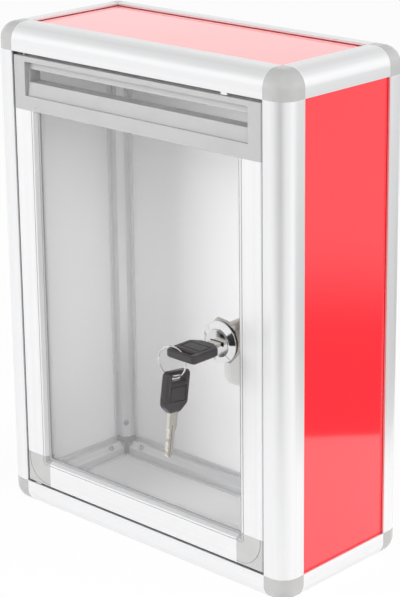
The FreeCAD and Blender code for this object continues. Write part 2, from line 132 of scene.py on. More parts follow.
class Sheet:
    """A node tree with short calls for adding and joining nodes."""

    def __init__(self, tree: bpy.types.NodeTree) -> None:
        """Keeps the tree that nodes are added to."""
        self.tree = tree

    def add(self, kind: str, *values: object, **settings: object) -> bpy.types.Node:
        """Adds a node.

        Args:
            kind: Blender's name of the node type.
            values: what the first inputs get, in order.
            settings: attributes of the node, or with an underscore for a space, its input values.

        Returns:
            The new node.
        """
        node = self.tree.nodes.new(kind)
        for socket, value in zip(node.inputs, values):
            self.feed(socket, value)
        for name, value in settings.items():
            if hasattr(node, name):
                setattr(node, name, value)
            else:
                self.feed(node.inputs[name.replace("_", " ")], value)
        return node

    def feed(self, socket: bpy.types.NodeSocket, value: object) -> None:
        """Joins a socket to an output, or sets its plain value."""
        if isinstance(value, bpy.types.NodeSocket):
            self.tree.links.new(value, socket)
        else:
            socket.default_value = value

    def maths(self, operation: str, *values: object) -> bpy.types.NodeSocket:
        """Returns the output of one Math node fed with the values in order."""
        return self.add("ShaderNodeMath", *values, operation=operation).outputs[0]

    def varied(self, base: object, *changes: tuple[object, object]) -> object:
        """Returns a base value with each mask times its share added."""
        for mask, share in changes:
            base = self.maths("MULTIPLY_ADD", mask, share, base)
        return base

    def split(self, vector: object) -> list[bpy.types.NodeSocket]:
        """Returns the x, y and z of a vector."""
        return list(self.add("ShaderNodeSeparateXYZ", vector).outputs)

    def place(self) -> bpy.types.NodeSocket:
        """Returns the object coordinates."""
        return self.add("ShaderNodeTexCoord").outputs["Object"]

    def ramp(self, value: bpy.types.NodeSocket, low: float, high: float, out_low: object = 0.0,
             out_high: object = 1.0) -> bpy.types.NodeSocket:
        """Returns the value carried smoothly from low..high to out_low..out_high."""
        node = self.add("ShaderNodeMapRange", interpolation_type="SMOOTHSTEP", Value=value,
                        From_Min=low, From_Max=high, To_Min=out_low, To_Max=out_high)
        return node.outputs[0]

    def noise(self, vector: object, scale: object, detail: float) -> bpy.types.NodeSocket:
        """Returns a noise value around one half."""
        node = self.add("ShaderNodeTexNoise", Vector=vector, Scale=scale, Detail=detail)
        return node.outputs["Fac"]

    def blend(self, factor: object, first: object, second: object) -> bpy.types.NodeSocket:
        """Returns the mix of two colours."""
        node = self.add("ShaderNodeMix", data_type="RGBA")
        for name, value in (("Factor_Float", factor), ("A_Color", first), ("B_Color", second)):
            self.feed(next(s for s in node.inputs if s.identifier == name), value)
        return next(s for s in node.outputs if s.identifier == "Result_Color")

    def effect(self, group: bpy.types.NodeTree, **inputs: object) -> object:
        """Returns the outputs of a shared effect placed here with its own values."""
        return self.add("ShaderNodeGroup", node_tree=group, **inputs).outputs

    def show(self, kind: str, factor: object, first: bpy.types.Node,
             second: bpy.types.Node) -> None:
        """Sends the mix of two shaders to the tree's output node.

        Args:
            kind: the type of the output node.
            factor: share of the second shader.
            first: a shader node.
            second: a shader node.
        """
        mix = self.add("ShaderNodeMixShader", factor, first.outputs[0], second.outputs[0])
        out = next(node for node in self.tree.nodes if node.type == kind)
        self.feed(out.inputs["Surface"], mix.outputs[0])


class Effects:
    """Node groups that several finishes share, each built once.

    The first constants are noise cells per metre, and a spread is the part of a noise value that is
    carried to the full range. The rubs are turned by angles in radians and drawn out.
    """

    LINES, BANDS, RUBS, GRAIN, FLOW, RINGS = 2600.0, 420.0, 130.0, 1800.0, 90.0, 3500.0
    SPREAD, CLOUD_SPREAD, RUB_SPREAD = (0.3, 0.7), (0.25, 0.75), (0.66, 0.74)
    RUB_TURN, RUB_STRETCH = (0.5, 0.8, 0.3), (1.0, 14.0, 1.0)

    def __init__(self) -> None:
        """Builds the groups."""
        self.drawn_lines = self._drawn_lines()
        self.handling = self._handling()
        self.mould_skin = self._mould_skin()
        self.turned_lines = self._turned_lines()

    @staticmethod
    def _group(name: str, inputs: dict[str, float | None], outputs: tuple[str, ...]) -> tuple:
        """Starts a group.

        Args:
            name: the group's name.
            inputs: each input's name with its default, or None for a vector.
            outputs: names of the value outputs.

        Returns:
            The group's sheet, the sockets of its input node and those of its output node.
        """
        tree = bpy.data.node_groups.new(name, "ShaderNodeTree")
        for label, default in inputs.items():
            kind = "NodeSocketVector" if default is None else "NodeSocketFloat"
            socket = tree.interface.new_socket(label, in_out="INPUT", socket_type=kind)
            if default is not None:
                socket.default_value = default
        for label in outputs:
            tree.interface.new_socket(label, in_out="OUTPUT", socket_type="NodeSocketFloat")
        sheet = Sheet(tree)
        return sheet, sheet.add("NodeGroupInput").outputs, sheet.add("NodeGroupOutput").inputs

    def _drawn_lines(self) -> bpy.types.NodeTree:
        """Die lines left along a drawn section: noise that is stretched along one axis."""
        sheet, inn, out = self._group("drawn_lines", {"Vector": None, "Stretch": None},
                                      ("Lines", "Bands"))
        moved = sheet.add("ShaderNodeVectorMath", inn["Vector"], inn["Stretch"],
                          operation="MULTIPLY").outputs[0]
        sheet.feed(out["Lines"], sheet.ramp(sheet.noise(moved, self.LINES, 3.0), *self.SPREAD))
        sheet.feed(out["Bands"], sheet.ramp(sheet.noise(moved, self.BANDS, 2.0), *self.SPREAD))
        return sheet.tree

    def _handling(self) -> bpy.types.NodeTree:
        """Faint marks of handling: broad cloudy patches and a few short rubs."""
        sheet, inn, out = self._group("handling", {"Vector": None, "Size": 30.0},
                                      ("Clouds", "Rubs"))
        clouds = sheet.noise(inn["Vector"], inn["Size"], 4.0)
        turned = sheet.add("ShaderNodeMapping", inn["Vector"], Rotation=self.RUB_TURN,
                           Scale=self.RUB_STRETCH).outputs[0]
        rubs = sheet.noise(turned, self.RUBS, 2.0)
        sheet.feed(out["Clouds"], sheet.ramp(clouds, *self.CLOUD_SPREAD))
        sheet.feed(out["Rubs"], sheet.ramp(rubs, *self.RUB_SPREAD))
        return sheet.tree

    def _mould_skin(self) -> bpy.types.NodeTree:
        """Skin of a moulded plastic piece: a fine spark grain over slow flow waves."""
        sheet, inn, out = self._group("mould_skin", {"Vector": None}, ("Height", "Flow"))
        flow = sheet.noise(inn["Vector"], self.FLOW, 3.0)
        sheet.feed(out["Height"], sheet.noise(inn["Vector"], self.GRAIN, 2.0))
        sheet.feed(out["Flow"], sheet.ramp(flow, *self.SPREAD))
        return sheet.tree

    def _turned_lines(self) -> bpy.types.NodeTree:
        """Lathe marks: rings whose height follows a noise of the distance from the y axis."""
        sheet, inn, out = self._group("turned_lines", {"Vector": None}, ("Height",))
        x, _, z = sheet.split(inn["Vector"])
        square = [sheet.maths("POWER", part, 2.0) for part in (x, z)]
        radius = sheet.maths("SQRT", sheet.maths("ADD", *square))
        line = sheet.add("ShaderNodeCombineXYZ", radius).outputs[0]
        sheet.feed(out["Height"], sheet.noise(line, self.RINGS, 1.0))
        return sheet.tree


EFFECTS = Effects()


@dataclass(frozen=True)
class Finish:
    """A surface finish that makes one material.

    In the finishes a size is noise cells per metre, a shade the share by which a mask darkens the
    colour, and a rough the change of roughness that a mask brings.
    """

    name: str
    colour: Colour
    roughness: float = 0.4

    def material(self) -> bpy.types.Material:
        """Returns this finish's material, building it on first use."""
        return bpy.data.materials.get(self.label) or self._build()

    @property
    def label(self) -> str:
        """Name of the material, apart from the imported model's own."""
        return f"{self.name}_finish"

    def _build(self) -> bpy.types.Material:
        """Makes the material and its shader, and has it dressed."""
        made = bpy.data.materials.new(self.label)
        made.use_nodes = True
        made.diffuse_color = solid(self.colour)
        shader = made.node_tree.nodes["Principled BSDF"]
        shader.inputs["Base Color"].default_value = solid(self.colour)
        shader.inputs["Roughness"].default_value = self.roughness
        self.dress(Sheet(made.node_tree), shader)
        return made

    def dress(self, sheet: Sheet, shader: bpy.types.Node) -> None:
        """Adds what the finish needs to the plain shader."""

    def relief(self, sheet: Sheet, shader: bpy.types.Node, height: object, depth: float,
               edge: float = 0.0) -> None:
        """Feeds a bump of the given depth to the shader, over edges eased by the given radius."""
        bump = sheet.add("ShaderNodeBump", Strength=1.0, Distance=depth, Height=height)
        if edge:
            eased = sheet.add("ShaderNodeBevel", samples=4, Radius=edge)
            sheet.feed(bump.inputs["Normal"], eased.outputs[0])
        sheet.feed(shader.inputs["Normal"], bump.outputs[0])

    def shades(self, mask: object, sheet: Sheet, change: float) -> bpy.types.NodeSocket:
        """Returns the colour, darkened by the given share where the mask is 0."""
        dark = tuple(part * (1.0 - change) for part in self.colour)
        return sheet.blend(mask, solid(dark), solid(self.colour))


@dataclass(frozen=True)
class DrawnAluminium(Finish):
    """Satin anodised aluminium with die lines along its length."""

    axis: Axis = Axis.Z
    edge: float = 0.25 * MM
    metal: float = 0.8
    along: float = 0.004
    cloud_size: float = 26.0
    band_shade: float = 0.035
    base_rough: float = -0.05
    line_rough: float = 0.07
    cloud_rough: float = 0.05
    rub_rough: float = -0.05
    depth: float = 0.004 * MM

    def dress(self, sheet: Sheet, shader: bpy.types.Node) -> None:
        """Metal whose roughness and height follow the die lines."""
        place = sheet.place()
        lines = sheet.effect(EFFECTS.drawn_lines, Vector=place,
                             Stretch=self.axis.stretch(self.along))
        marks = sheet.effect(EFFECTS.handling, Vector=place, Size=self.cloud_size)
        shader.inputs["Metallic"].default_value = self.metal
        colour = self.shades(lines["Bands"], sheet, self.band_shade)
        rough = sheet.varied(self.roughness + self.base_rough, (lines["Lines"], self.line_rough),
                             (marks["Clouds"], self.cloud_rough), (marks["Rubs"], self.rub_rough))
        sheet.feed(shader.inputs["Base Color"], colour)
        sheet.feed(shader.inputs["Roughness"], rough)
        self.relief(sheet, shader, lines["Lines"], self.depth, self.edge)


@dataclass(frozen=True)
class MouldedPlastic(Finish):
    """Injection moulded plastic with a fine skin and eased edges."""

    depth: float = 0.012 * MM
    edge: float = 0.35 * MM
    cloud_size: float = 40.0
    flow_shade: float = 0.04
    base_rough: float = -0.03
    flow_rough: float = 0.06
    rub_rough: float = -0.08

    def dress(self, sheet: Sheet, shader: bpy.types.Node) -> None:
        """Plastic whose colour and gloss drift with the flow in the mould."""
        place = sheet.place()
        skin = sheet.effect(EFFECTS.mould_skin, Vector=place)
        marks = sheet.effect(EFFECTS.handling, Vector=place, Size=self.cloud_size)
        colour = self.shades(skin["Flow"], sheet, self.flow_shade)
        rough = sheet.varied(self.roughness + self.base_rough, (skin["Flow"], self.flow_rough),
                             (marks["Rubs"], self.rub_rough))
        sheet.feed(shader.inputs["Base Color"], colour)
        sheet.feed(shader.inputs["Roughness"], rough)
        self.relief(sheet, shader, skin["Height"], self.depth, self.edge)


@dataclass(frozen=True)
class FacedSheet(Finish):
    """Composite sheet: gloss colour on the outer face, pale primer inside, dark core between."""

    normal: Axis = Axis.X
    outside_above: bool = True
    middle: float = 0.0
    thickness: float = 3.0 * MM
    skin: float = 0.3 * MM
    inside: Colour = (0.90, 0.892, 0.895)
    core: Colour = (0.03, 0.03, 0.032)
    cloud_size: float = 14.0
    cloud_shade: float = 0.02
    rub_rough: float = 0.04
    inside_rough: float = 0.3
    coat_roughness: float = 0.06
    peel_size: float = 90.0
    peel_depth: float = 0.008 * MM

    def dress(self, sheet: Sheet, shader: bpy.types.Node) -> None:
        """Chooses the layer by the height through the sheet."""
        place = sheet.place()
        sign = 1.0 if self.outside_above else -1.0
        through = sheet.split(place)[list(Axis).index(self.normal)]
        height = sheet.maths("MULTIPLY_ADD", through, sign, -sign * self.middle)
        edge = self.thickness / 2 - self.skin
        outer = sheet.maths("GREATER_THAN", height, edge)
        inner = sheet.maths("LESS_THAN", height, -edge)
        marks = sheet.effect(EFFECTS.handling, Vector=place, Size=self.cloud_size)
        face = self.shades(marks["Clouds"], sheet, self.cloud_shade)
        colour = sheet.blend(inner, sheet.blend(outer, solid(self.core), face), solid(self.inside))
        rough = sheet.varied(self.roughness, (marks["Rubs"], self.rub_rough),
                             (inner, self.inside_rough))
        sheet.feed(shader.inputs["Base Color"], colour)
        sheet.feed(shader.inputs["Roughness"], rough)
        sheet.feed(shader.inputs["Coat Weight"], outer)
        shader.inputs["Coat Roughness"].default_value = self.coat_roughness
        peel = sheet.maths("MULTIPLY", sheet.noise(place, self.peel_size, 1.0), outer)
        self.relief(sheet, shader, peel, self.peel_depth)


@dataclass(frozen=True)
class ClearSheet(Finish):
    """Clear cast sheet that lets the light through to what is behind it."""

    bending: float = 1.49
    tint: Colour = (0.985, 0.988, 0.988)

    def dress(self, sheet: Sheet, shader: bpy.types.Node) -> None:
        """Glass to the eye, and clear to the rays that carry light through it."""
        shader.inputs["Transmission Weight"].default_value = 1.0
        shader.inputs["IOR"].default_value = self.bending
        clear = sheet.add("ShaderNodeBsdfTransparent", Color=solid(self.tint))
        path = sheet.add("ShaderNodeLightPath").outputs
        through = sheet.maths("MAXIMUM", path["Is Shadow Ray"], path["Is Diffuse Ray"])
        sheet.show("OUTPUT_MATERIAL", through, shader, clear)


@dataclass(frozen=True)
class PlatedMetal(Finish):
    """Plated steel or brass, with lathe marks about a y axis where a centre is given.

    Beyond the y of inner_from it has the inner colour, where one is given.
    """

    centre: Vector | None = None
    depth: float = 0.006 * MM
    edge: float = 0.2 * MM
    inner: Colour | None = None
    inner_from: float = 0.0
    inner_fade: float = 0.05 * MM
    cloud_size: float = 120.0
    cloud_shade: float = 0.05
    base_rough: float = -0.03
    cloud_rough: float = 0.08
    grain_size: float = 1500.0

    def dress(self, sheet: Sheet, shader: bpy.types.Node) -> None:
        """Metal whose plating varies a little in colour and gloss."""
        place = sheet.place()
        clouds = sheet.effect(EFFECTS.handling, Vector=place, Size=self.cloud_size)["Clouds"]
        shader.inputs["Metallic"].default_value = 1.0
        colour = self.shades(clouds, sheet, self.cloud_shade)
        if self.inner is not None:
            inside = sheet.ramp(sheet.split(place)[1], self.inner_from,
                                self.inner_from + self.inner_fade)
            colour = sheet.blend(inside, colour, solid(self.inner))
        rough = sheet.varied(self.roughness + self.base_rough, (clouds, self.cloud_rough))
        sheet.feed(shader.inputs["Base Color"], colour)
        sheet.feed(shader.inputs["Roughness"], rough)
        if self.centre is None:
            height = sheet.noise(place, self.grain_size, 2.0)
        else:
            moved = sheet.add("ShaderNodeMapping", place, Location=tuple(-c for c in self.centre))
            height = sheet.effect(EFFECTS.turned_lines, Vector=moved.outputs[0])["Height"]
        self.relief(sheet, shader, height, self.depth, self.edge)


# Surfaces


def grid_piece(name: str, points: np.ndarray, closed: bool = False,
               smooth: bool = True) -> bpy.types.Object:
    """Makes a mesh from surfaces of two parameters.

    The point at (i, j) joins those at (i + 1, j) and (i, j + 1). Points that meet at a pole are
    merged, so the pole is closed.

    Args:
        name: the object's name.
        points: array of copies, rows, columns and xyz.
        closed: whether the last column joins the first.
        smooth: whether the faces are shaded smooth.

    Returns:
        The object, at the origin.
    """
    copies, rows, cols, _ = points.shape
    index = np.arange(copies * rows * cols).reshape(copies, rows, cols)
    first, second = index[:, :-1], index[:, 1:]
    faces = np.stack([first, second, np.roll(second, -1, axis=2), np.roll(first, -1, axis=2)],
                     axis=-1)
    if not closed:
        faces = faces[:, :, :-1]
    mesh = bpy.data.meshes.new(name)
    mesh.from_pydata(points.reshape(-1, 3).tolist(), [], faces.reshape(-1, 4).tolist())
    work = bmesh.new()
    work.from_mesh(mesh)
    bmesh.ops.remove_doubles(work, verts=work.verts, dist=SAME_POINT)
    bmesh.ops.dissolve_degenerate(work, edges=work.edges, dist=NO_LENGTH)
    bmesh.ops.recalc_face_normals(work, faces=work.faces)
    work.to_mesh(mesh)
    work.free()
    mesh.polygons.foreach_set("use_smooth", np.full(len(mesh.polygons), smooth))
    return placed(bpy.data.objects.new(name, mesh))


def placed(made: bpy.types.Object, matrix: Matrix | None = None) -> bpy.types.Object:
    """Returns an object after linking it to the scene, at a place where one is given."""
    if matrix is not None:
        made.matrix_world = matrix
    bpy.context.scene.collection.objects.link(made)
    return made


def smoothstep(low: float, high: float, value: np.ndarray) -> np.ndarray:
    """Returns 0 below low, 1 above high and a smooth cubic between."""
    t = np.clip((value - low) / (high - low), 0.0, 1.0)
    return t * t * (3.0 - 2.0 * t)


def frame_along(way: Vector) -> np.ndarray:
    """Returns rows of two unit vectors across a direction and the direction itself."""
    way = way.normalized()
    side = way.orthogonal().normalized()
    return np.array([side, way.cross(side), way])


@dataclass(frozen=True)
class CrossScrew:
    """Pan head screw with a cross recess, turned about its own axis.

    The shares of the head are of its radius and its height, and those of the shank are of its
    radius and its length.
    """

    head_radius: float
    head_height: float
    shank_radius: float
    length: float
    segments: int = 40
    dome_rows: int = 13
    dome_reach: float = 0.9
    dome_fall: float = 0.3
    rim: tuple[Bounds, ...] = ((0.97, 0.62), (1.0, 0.35), (1.0, 0.0))
    shank: tuple[Bounds, ...] = ((1.0, 0.0), (1.0, -0.8), (0.5, -1.0), (0.0, -1.0))
    arm_side: Bounds = (0.1, 0.2)
    arm_end: Bounds = (0.42, 0.62)
    recess: float = 0.6

    def surface(self) -> np.ndarray:
        """Head, then shank: rings of a turned profile, pressed in where the cross is.

        Returns:
            Array of rows, columns and xyz, with z from the head's seat outward.
        """
        top, r = self.head_height, self.head_radius
        dome = np.linspace(0.0, 1.0, self.dome_rows) * self.dome_reach
        profile = [(r * s, top * (1.0 - self.dome_fall * s ** 4)) for s in dome]
        profile += [(r * out, top * up) for out, up in self.rim]
        profile += [(self.shank_radius * out, self.length * up) for out, up in self.shank]
        ring, height = np.array(profile).T
        turn = np.linspace(0.0, 2 * np.pi, self.segments, endpoint=False)
        x, y = ring[:, None] * np.cos(turn), ring[:, None] * np.sin(turn)
        near, far = np.minimum(abs(x), abs(y)) / r, np.maximum(abs(x), abs(y)) / r
        arm = (1 - smoothstep(*self.arm_side, near)) * (1 - smoothstep(*self.arm_end, far))
        depth = self.recess * top
        sunk = arm * (height[:, None] > depth) * depth
        return np.stack([x, y, height[:, None] - sunk], axis=-1)

    def many(self, name: str, seats: list[tuple[Vector, Vector]]) -> bpy.types.Object:
        """Makes one piece of several screws.

        Args:
            name: the piece's name.
            seats: for each screw, the point under its head and the way it is driven in.

        Returns:
            The object.
        """
        base = self.surface()
        turned = [base @ frame_along(-way) + np.array(point) for point, way in seats]
        return grid_piece(name, np.stack(turned), closed=True)


# Sub-assemblies


RED: Colour = (0.97, 0.012, 0.024)
ALUMINIUM: Colour = (0.83, 0.832, 0.84)
FORWARD = Vector((0, -1, 0))


@dataclass
class Case:
    """Edge profiles, corner pieces, faced panels and the small parts fixed to them.

    A corner's screws sit screw_in from two outer faces and screw_along from the third.
    """

    corner: Finish = MouldedPlastic("grey_corner_plastic", (0.41, 0.41, 0.407), 0.18, edge=0.0)
    nylon: Finish = MouldedPlastic("white_nylon", (0.82, 0.82, 0.81), 0.45, edge=0.2 * MM)
    zinc: Finish = PlatedMetal("zinc_plate", (0.74, 0.75, 0.77), 0.3)
    screw: Finish = PlatedMetal("zinc_screw", (0.70, 0.71, 0.73), 0.26, edge=0.0)
    profile_roughness: float = 0.40
    panel_roughness: float = 0.09
    sheet_skin: float = 0.3 * MM
    screw_in: float = 10.8 * MM
    screw_along: float = 23.6 * MM
    profile_screw: CrossScrew = CrossScrew(1.65 * MM, 1.2 * MM, 0.9 * MM, 6.3 * MM)
    catch_screw: CrossScrew = CrossScrew(1.8 * MM, 1.2 * MM, 0.9 * MM, 6.0 * MM)

    def build(self) -> None:
        """Makes the screws and dresses the case."""
        self.dress_profiles()
        self.dress_panels()
        for name in frame["nodes"]:
            if name.startswith("corner_") and name != "corner_screws":
                dress(self.corner, name)
        dress(self.nylon, "hinge_block_top", "hinge_block_bottom", "door_buffer")
        dress(self.zinc, "lock_catch")
        finished(self.profile_screws(), "case", self.screw, "corner_screws")
        finished(self.catch_screws(), "case", self.screw, "catch_screws")

    def profile_screws(self) -> bpy.types.Object:
        """Makes the three screws of each corner's legs, driven at 45 degrees into the edge.

        Returns:
            All of them as one piece.
        """
        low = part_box("corner_front_bottom_left")[0]
        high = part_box("corner_back_top_right")[1]
        seats = []
        for signs in np.array(np.meshgrid([1, -1], [1, -1], [1, -1])).T.reshape(-1, 3):
            corner = Vector([low[i] if signs[i] > 0 else high[i] for i in range(3)])
            for leg in range(3):
                out = Vector([0.0 if i == leg else float(signs[i]) for i in range(3)])
                along = Vector([float(signs[i]) if i == leg else 0.0 for i in range(3)])
                seats.append((corner + out * self.screw_in + along * self.screw_along, -out))
        return self.profile_screw.many("profile_screw_set", seats)

    def catch_screws(self) -> bpy.types.Object:
        """Makes the two screws of the lock's catch, one near each end of their node."""
        low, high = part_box("catch_screws")
        screw = self.catch_screw
        seat_y = high.y - screw.head_height
        heights = (low.z + screw.head_radius, high.z - screw.head_radius)
        seats = [(Vector(((low.x + high.x) / 2, seat_y, z)), FORWARD) for z in heights]
        return screw.many("catch_screw_set", seats)

    def dress_profiles(self) -> None:
        """Gives each edge profile the satin metal drawn along its own length."""
        for name in frame["nodes"]:
            if name.startswith("profile_"):
                low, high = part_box(name)
                axis = list(Axis)[int(np.argmax(np.array(high - low)))]
                label = f"satin_profile_{axis.name.lower()}"
                dress(DrawnAluminium(label, ALUMINIUM, self.profile_roughness, axis=axis), name)

    def dress_panels(self) -> None:
        """Gives each panel its coloured face outside and pale primer inside."""
        middle = sum(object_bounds(), Vector()) / 2
        for name in ("panel_left", "panel_right", "panel_top", "panel_bottom", "panel_back"):
            low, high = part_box(name)
            size, centre = high - low, (low + high) / 2
            index = int(np.argmin(np.array(size)))
            finish = FacedSheet(f"faced_{name}", RED, self.panel_roughness,
                                normal=list(Axis)[index],
                                outside_above=centre[index] > middle[index],
                                middle=centre[index], thickness=size[index], skin=self.sheet_skin)
            dress(finish, name)


@dataclass
class Door:
    """Framed clear door with its slot header, gasket and hinge pins."""

    frame_colour: Colour = (0.73, 0.73, 0.737)
    frame_roughness: float = 0.44
    frame_metal: float = 0.4
    frame_edge: float = 0.15 * MM
    header: Finish = MouldedPlastic("grey_header_plastic", (0.408, 0.408, 0.408), 0.36)
    corner: Finish = MouldedPlastic("grey_door_corner", (0.44, 0.44, 0.437), 0.38, edge=0.2 * MM)
    clear: Finish = ClearSheet("clear_acrylic", WHITE, 0.0)
    gasket: Finish = MouldedPlastic("gasket_rubber", (0.34, 0.34, 0.35), 0.6, edge=0.0)
    pin: Finish = PlatedMetal("pin_steel", (0.6, 0.6, 0.6), 0.25)

    def build(self) -> None:
        """Dresses the door's pieces."""
        for axis, names in ((Axis.Z, ("stile_left", "stile_right")), (Axis.X, ("bottom_rail",))):
            label = f"white_profile_{axis.name.lower()}"
            finish = DrawnAluminium(label, self.frame_colour, self.frame_roughness, axis=axis,
                                    edge=self.frame_edge, metal=self.frame_metal)
            dress(finish, *names)
        dress(self.header, "slot_header")
        dress(self.corner, "door_corner_left", "door_corner_right")
        dress(self.clear, "clear_panel")
        dress(self.gasket, "glazing_gasket")
        dress(self.pin, "hinge_pin_top", "hinge_pin_bottom")


@dataclass
class Lock:
    """Cam lock: turned chrome housing and plug, hexagonal nut, cam and its screw.

    The nut's bevel starts at nut_flat of its inscribed circle.
    """

    chrome_colour: Colour = (0.72, 0.72, 0.73)
    chrome_inside: Colour = (0.42, 0.37, 0.34)
    plug_colour: Colour = (0.68, 0.68, 0.69)
    nut_colour: Colour = (0.52, 0.48, 0.44)
    cam: Finish = PlatedMetal("cam_plate", (0.78, 0.775, 0.765), 0.36)
    screw_radius: float = 4.0 * MM
    screw_head: float = 2.2 * MM
    screw_shank: float = 1.9 * MM
    nut_radius: float = 12.4 * MM
    nut_turn: float = -10.0
    nut_bore: float = 8.0 * MM
    nut_bevel: float = 30.0
    nut_flat: float = 0.985
    nut_steps: int = 8
    nut_rings: int = 9

    def build(self) -> None:
        """Dresses the lock about its own axis."""
        centre = sum(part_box("lock_plug"), Vector()) / 2
        chrome = PlatedMetal("lock_chrome", self.chrome_colour, 0.07, centre=centre,
                             depth=0.003 * MM, edge=0.3 * MM, inner=self.chrome_inside,
                             inner_from=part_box("clear_panel")[0].y)
        plug = PlatedMetal("plug_chrome", self.plug_colour, 0.10, centre=centre, depth=0.005 * MM)
        nut = PlatedMetal("nut_plate", self.nut_colour, 0.2, centre=centre, edge=0.3 * MM)
        dress(chrome, "lock_housing")
        dress(plug, "lock_plug")
        dress(self.cam, "lock_cam")
        finished(self.chamfered_nut(), "door", nut, "lock_nut")
        finished(self.cam_screw(), body_of("cam_screw"), self.cam, "cam_screw")

    def chamfered_nut(self) -> bpy.types.Object:
        """Makes the nut as rings of points from its bore out to its six sides and back.

        Each face falls by the bevel's slope beyond a circle inside the six sides, so the corners
        are cut as on a turned and milled nut.

        Returns:
            The nut.
        """
        low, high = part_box("lock_nut")
        middle = (low + high) / 2
        turn = np.arange(6 * self.nut_steps) * np.pi / (3 * self.nut_steps)
        flat = self.nut_radius * math.cos(math.pi / 6)
        side = flat / np.cos((turn % (np.pi / 3)) - np.pi / 6)
        share = np.linspace(0.0, 1.0, self.nut_rings)[:, None]
        radius = self.nut_bore + (side - self.nut_bore) * share
        slope = math.tan(math.radians(self.nut_bevel))
        fall = np.clip(radius - flat * self.nut_flat, 0.0, None) * slope
        front, back = low.y + fall, high.y - fall
        radius = np.concatenate([radius, radius[::-1], radius[:1]])
        depth = np.concatenate([front, back[::-1], front[:1]])
        at = turn + math.radians(self.nut_turn)
        points = np.stack([middle.x + radius * np.cos(at), depth, middle.z + radius * np.sin(at)],
                          axis=-1)
        return grid_piece("chamfered_nut", points[None], closed=True, smooth=False)

    def cam_screw(self) -> bpy.types.Object:
        """Makes the screw that holds the cam on the plug."""
        low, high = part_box("cam_screw")
        length = high.y - low.y - self.screw_head
        screw = CrossScrew(self.screw_radius, self.screw_head, self.screw_shank, length)
        seat = Vector(((low.x + high.x) / 2, high.y - screw.head_height, (low.z + high.z) / 2))
        return screw.many("cam_fixing_screw", [(seat, FORWARD)])


@dataclass
class Keys:
    """Key in the lock, split ring through its head, and the spare key on the ring.

    The wire steps over to its second turn by wire_step of its width, and closes at its ends over
    the angle of its taper. Its squareness is the power of the superellipse.
    """

    head: Finish = MouldedPlastic("key_head_plastic", (0.030, 0.027, 0.029), 0.32, edge=0.3 * MM)
    blade: Finish = PlatedMetal("key_nickel", (0.72, 0.69, 0.63), 0.22)
    wire: Finish = PlatedMetal("ring_wire", (0.80, 0.79, 0.77), 0.16)
    ring_radius: float = 8.2 * MM
    ring_turn: float = 10.0
    ring_gap_radians: float = 0.3
    ring_points: int = 400
    wire_radial: float = 0.58 * MM
    wire_axial: float = 0.42 * MM
    wire_step: float = 1.04
    wire_taper_radians: float = 0.02
    wire_squareness: float = 0.6
    wire_points: int = 14

    def build(self) -> None:
        """Dresses both keys and the ring."""
        dress(self.head, "key_head", "spare_key_head")
        dress(self.blade, "key_blade", "spare_key_blade")
        finished(self.split_ring(), body_of("key_ring"), self.wire, "key_ring")

    def split_ring(self) -> bpy.types.Object:
        """Makes the split ring: a flat wire wound twice round.

        The wire's middle runs round a circle for two turns, less a gap at each end, and steps
        across by about one wire's width half way.

        Returns:
            The ring.
        """
        middle = np.array(sum(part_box("key_ring"), Vector()) / 2)
        gap = self.ring_gap_radians
        t = np.linspace(gap, 4 * np.pi - gap, self.ring_points)
        step = smoothstep(2 * np.pi - gap, 2 * np.pi + gap, t) - 0.5
        ends = np.minimum(t - t[0], t[-1] - t) / self.wire_taper_radians
        size = np.sqrt(np.clip(ends, 0.0, 1.0))
        a = np.linspace(0, 2 * np.pi, self.wire_points, endpoint=False)
        sections = ((np.cos(a), self.wire_radial), (np.sin(a), self.wire_axial))
        wide, deep = (np.sign(part) * abs(part) ** self.wire_squareness * width / 2
                      for part, width in sections)
        radius = self.ring_radius + size[:, None] * wide
        across = step[:, None] * self.wire_axial * self.wire_step + size[:, None] * deep
        turn = math.radians(self.ring_turn)
        flat = radius * np.cos(t)[:, None]
        points = np.stack([flat * math.cos(turn) - across * math.sin(turn),
                           flat * math.sin(turn) + across * math.cos(turn),
                           radius * np.sin(t)[:, None]], axis=-1)
        return grid_piece("split_ring", (points + middle)[None], closed=True)


def dress(finish: Finish, *nodes: str) -> None:
    """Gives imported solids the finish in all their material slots."""
    for node in nodes:
        mesh = frame["nodes"][node].data
        mesh.materials.clear()
        mesh.materials.append(finish.material())
        mesh.polygons.foreach_set("material_index", np.zeros(len(mesh.polygons), int))


def body_of(node: str) -> str:
    """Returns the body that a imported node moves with."""
    return frame["nodes"][node]["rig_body"]


def finished(piece: bpy.types.Object, body: str, finish: Finish, node: str) -> None:
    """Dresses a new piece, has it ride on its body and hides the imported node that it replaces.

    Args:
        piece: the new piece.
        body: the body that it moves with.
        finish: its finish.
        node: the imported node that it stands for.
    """
    piece.data.materials.append(finish.material())
    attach(piece, body)
    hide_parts(node)
    LOG.info("%s: %d faces", piece.name, len(piece.data.polygons))


# Studio


@dataclass(frozen=True)
class SoftBox:
    """Rectangular lamp that faces the middle of the post box and isn't mirrored in it.

    Distance and size are in metres, and power is in watts.
    """

    name: str
    azimuth: float
    elevation: float
    distance: float
    size: tuple[float, float]
    power: float

    def build(self) -> None:
        """Makes the lamp."""
        centre = sum(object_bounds(), Vector()) / 2
        back = heading(self.azimuth, self.elevation)
        data = bpy.data.lights.new(self.name, "AREA")
        data.shape, data.energy = "RECTANGLE", self.power
        data.size, data.size_y = self.size
        made = bpy.data.objects.new(self.name, data)
        made.visible_glossy = made.visible_transmission = False
        turn = back.to_track_quat("Z", "Y").to_matrix().to_4x4()
        placed(made, Matrix.Translation(centre + back * self.distance) @ turn)


